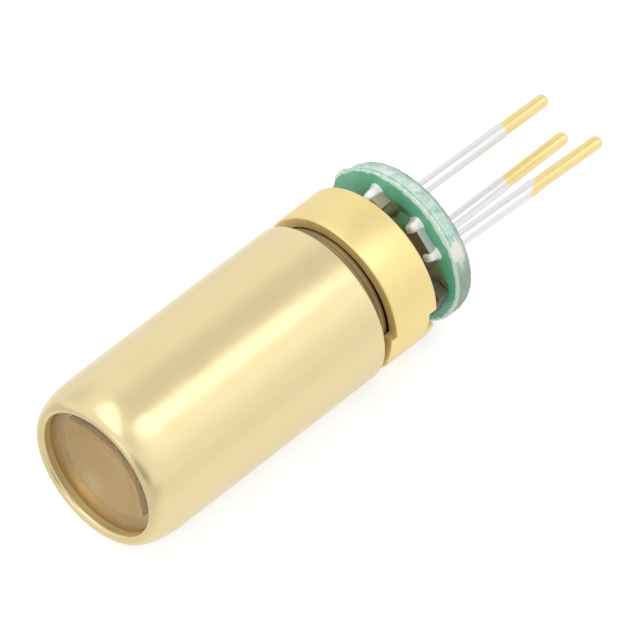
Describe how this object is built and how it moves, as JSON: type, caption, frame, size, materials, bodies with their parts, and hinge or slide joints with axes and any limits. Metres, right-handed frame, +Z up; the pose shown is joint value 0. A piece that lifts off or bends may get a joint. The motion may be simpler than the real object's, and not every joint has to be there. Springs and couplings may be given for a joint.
{
  "type": "laser module",
  "caption": "Small brass laser module: round-nosed barrel with a recessed lens, a slim notched collar, a round green driver board and straight leads.",
  "frame": {"origin": "on the optical axis, halfway along the straight part of the barrel", "axes": "the optical axis is Y: the mouth faces -Y and the leads point to +Y; +Z is up"},
  "size_m": [0.0065, 0.0246, 0.0064],
  "materials": {
    "polished_brass": "turned and polished",
    "satin_brass": "turned, satin",
    "clear_acrylic": "moulded, clear",
    "grey_alloy": "turned thread, satin",
    "gilt_steel": "gilt, satin",
    "nickel_cap": "drawn, nickel plated",
    "window_glass": "polished",
    "pale_ceramic": "sawn",
    "dark_chip": "cleaved, mirror smooth",
    "seal_glass": "fused",
    "gold_lead": "gilt, solder coated near the board",
    "green_board": "solder mask on glass laminate",
    "solder": "bright solder",
    "grey_resistor": "glazed ceramic",
    "tan_capacitor": "fired ceramic",
    "black_moulding": "moulded"
  },
  "bodies": {
    "root": {"barrel": "polished_brass", "lens": "clear_acrylic", "diode_holder": "grey_alloy", "collar": "satin_brass", "diode_stem": "gilt_steel", "diode_cap": "nickel_cap", "diode_window": "window_glass", "submount": "pale_ceramic", "laser_chip": "dark_chip", "monitor_chip": "dark_chip", "lead_seals": "seal_glass", "left_lead": "gold_lead", "lower_lead": "gold_lead", "right_lead": "gold_lead", "driver_board": "green_board", "solder_joints": "solder", "resistor_body": "grey_resistor", "resistor_ends": "solder", "capacitor_body": "tan_capacitor", "capacitor_ends": "solder", "protector_body": "black_moulding", "protector_feet": "solder"}
  },
  "joints": []
}
